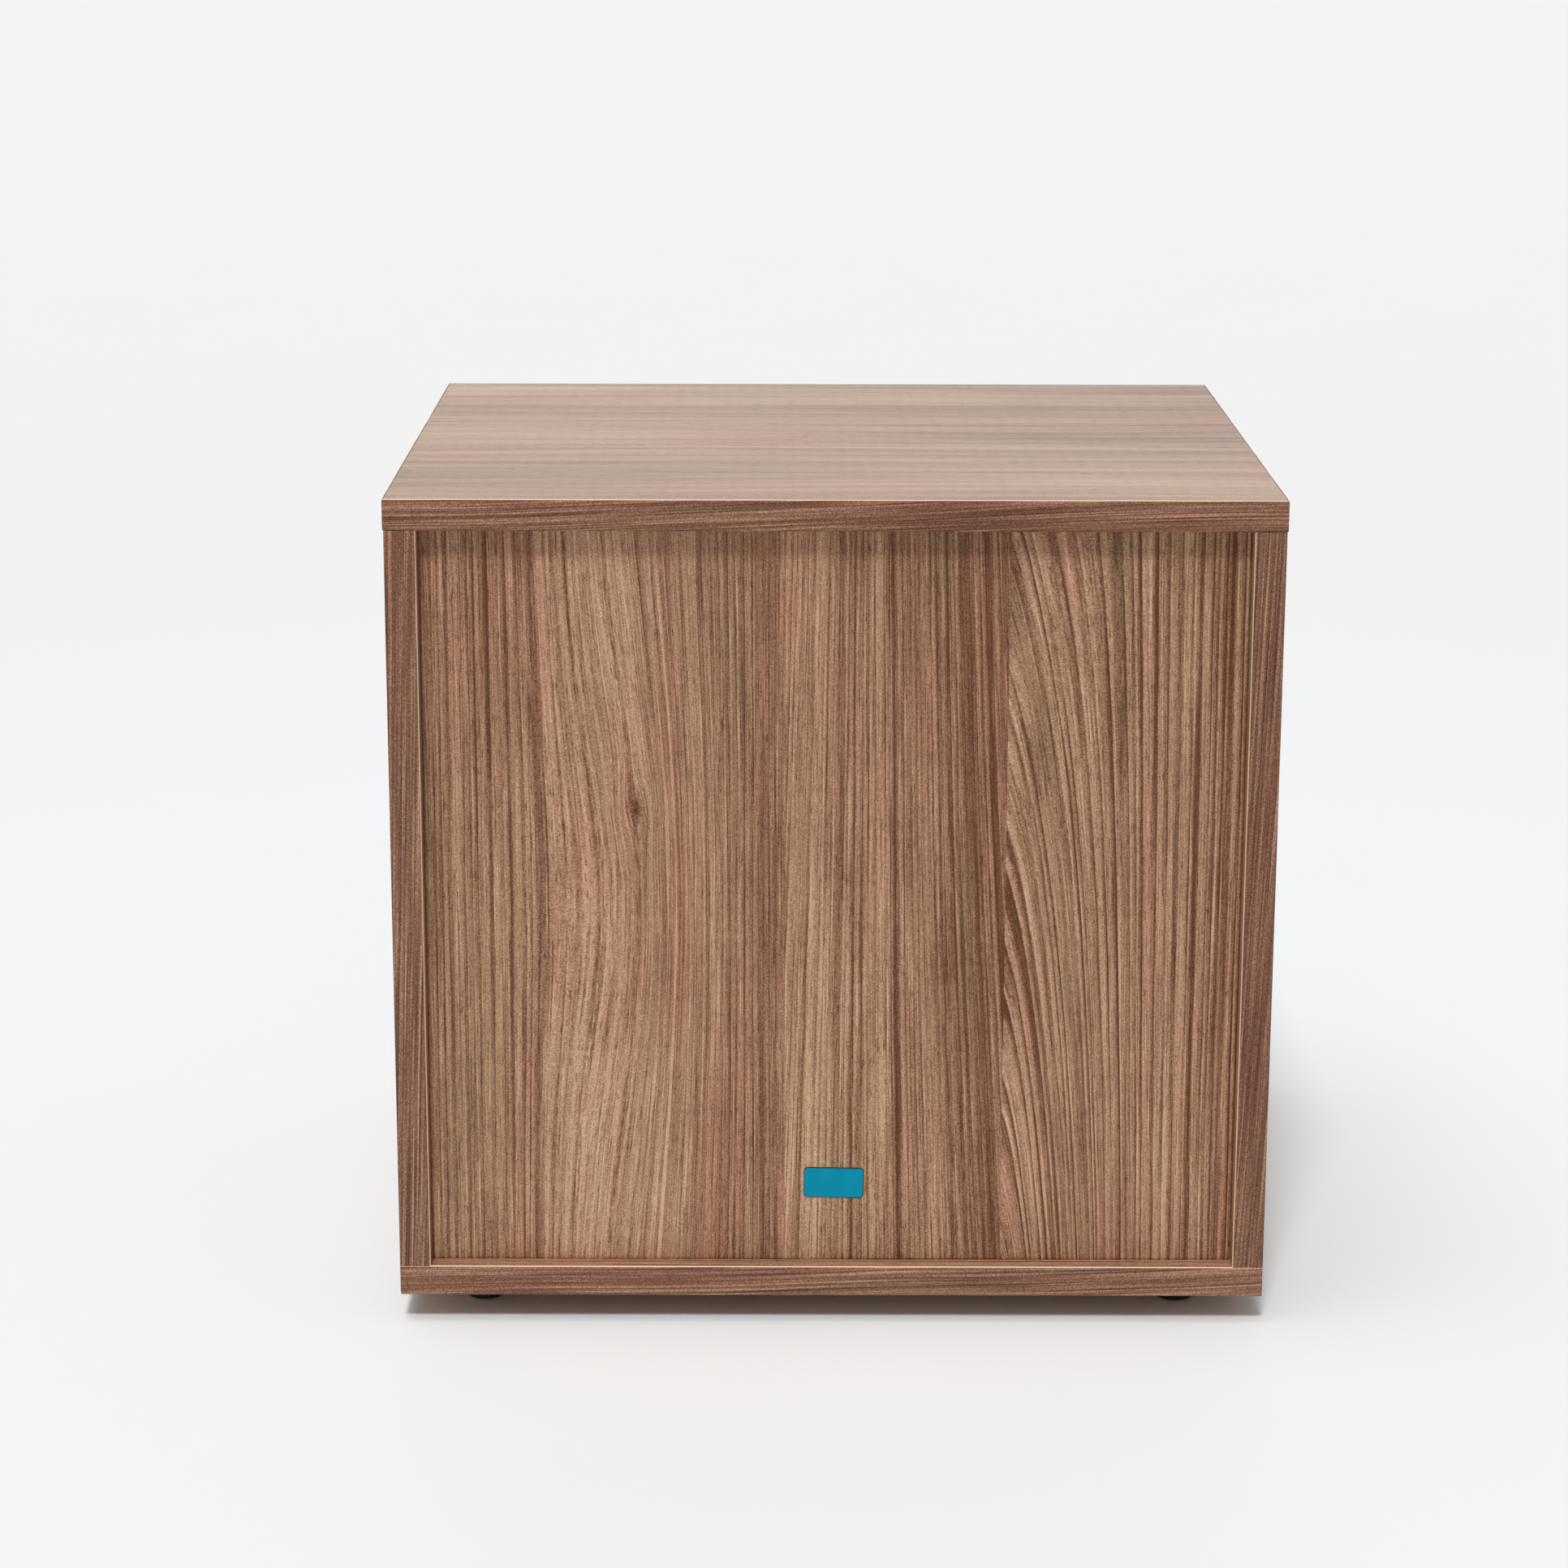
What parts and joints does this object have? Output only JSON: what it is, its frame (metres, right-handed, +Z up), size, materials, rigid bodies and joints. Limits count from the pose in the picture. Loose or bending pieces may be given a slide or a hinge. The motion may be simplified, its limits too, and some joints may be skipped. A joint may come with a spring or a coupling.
{
  "type": "cube storage unit",
  "caption": "Low square box of wood-grain laminated board, open at the front with a recessed back, on small round levelling feet, for shelf or side-table storage.",
  "frame": {"origin": "on the floor under the middle of the unit, at the level of the soles with the feet screwed in", "axes": "+Z up; +Y from the closed back towards the open front; +X to the right as seen when facing the closed back, as the picture does"},
  "size_m": [0.45, 0.4, 0.435],
  "materials": {
    "walnut_laminate": "satin printed wood-grain laminate on board",
    "back_laminate": "satin printed wood-grain laminate with upright grain",
    "edge_band": "printed wood-grain edge band with rounded edges",
    "zinc": "bare die-cast zinc",
    "steel": "zinc-plated steel",
    "brown_plastic": "moulded, fine matt",
    "beech": "bare turned wood",
    "black_plastic": "moulded, fine matt",
    "blue_plate": "smooth semi-gloss"
  },
  "bodies": {
    "carcass": {"top_board": "walnut_laminate", "bottom_board": "walnut_laminate", "left_side_board": "walnut_laminate", "right_side_board": "walnut_laminate", "back_panel": "back_laminate", "top_rear_edge_band": "edge_band", "top_front_edge_band": "edge_band", "top_left_edge_band": "edge_band", "top_right_edge_band": "edge_band", "bottom_rear_edge_band": "edge_band", "bottom_front_edge_band": "edge_band", "bottom_left_edge_band": "edge_band", "bottom_right_edge_band": "edge_band", "left_side_rear_edge_band": "edge_band", "left_side_front_edge_band": "edge_band", "right_side_rear_edge_band": "edge_band", "right_side_front_edge_band": "edge_band", "cam_locks": "zinc", "cam_bolts": "steel", "cam_cover_caps": "brown_plastic", "joint_dowels": "beech", "foot_sockets": "steel", "back_plate": "blue_plate"},
    "rear_left_foot_pad": {"rear_left_foot_pad": "black_plastic"},
    "rear_left_foot_stud": {"rear_left_foot_stud": "steel"},
    "rear_right_foot_pad": {"rear_right_foot_pad": "black_plastic"},
    "rear_right_foot_stud": {"rear_right_foot_stud": "steel"},
    "front_left_foot_pad": {"front_left_foot_pad": "black_plastic"},
    "front_left_foot_stud": {"front_left_foot_stud": "steel"},
    "front_right_foot_pad": {"front_right_foot_pad": "black_plastic"},
    "front_right_foot_stud": {"front_right_foot_stud": "steel"}
  },
  "joints": [
    {"name": "rear_left_foot_height", "type": "slide", "parent": "carcass", "child": "rear_left_foot_pad", "axis": [0, 0, -1], "range_m": [0, 0.008]},
    {"name": "rear_left_foot_turn", "type": "hinge", "parent": "rear_left_foot_pad", "child": "rear_left_foot_stud", "pos_m": [-0.183, -0.159, 0.014], "axis": [0, 0, -1], "range_deg": [0, 2880]},
    {"name": "rear_right_foot_height", "type": "slide", "parent": "carcass", "child": "rear_right_foot_pad", "axis": [0, 0, -1], "range_m": [0, 0.008]},
    {"name": "rear_right_foot_turn", "type": "hinge", "parent": "rear_right_foot_pad", "child": "rear_right_foot_stud", "pos_m": [0.183, -0.159, 0.014], "axis": [0, 0, -1], "range_deg": [0, 2880]},
    {"name": "front_left_foot_height", "type": "slide", "parent": "carcass", "child": "front_left_foot_pad", "axis": [0, 0, -1], "range_m": [0, 0.008]},
    {"name": "front_left_foot_turn", "type": "hinge", "parent": "front_left_foot_pad", "child": "front_left_foot_stud", "pos_m": [-0.183, 0.159, 0.014], "axis": [0, 0, -1], "range_deg": [0, 2880]},
    {"name": "front_right_foot_height", "type": "slide", "parent": "carcass", "child": "front_right_foot_pad", "axis": [0, 0, -1], "range_m": [0, 0.008]},
    {"name": "front_right_foot_turn", "type": "hinge", "parent": "front_right_foot_pad", "child": "front_right_foot_stud", "pos_m": [0.183, 0.159, 0.014], "axis": [0, 0, -1], "range_deg": [0, 2880]}
  ],
  "couplings": [
    {"joint": "rear_left_foot_turn", "follows": "rear_left_foot_height", "rad_per_m": 6283.2},
    {"joint": "rear_right_foot_turn", "follows": "rear_right_foot_height", "rad_per_m": 6283.2},
    {"joint": "front_left_foot_turn", "follows": "front_left_foot_height", "rad_per_m": 6283.2},
    {"joint": "front_right_foot_turn", "follows": "front_right_foot_height", "rad_per_m": 6283.2}
  ]
}
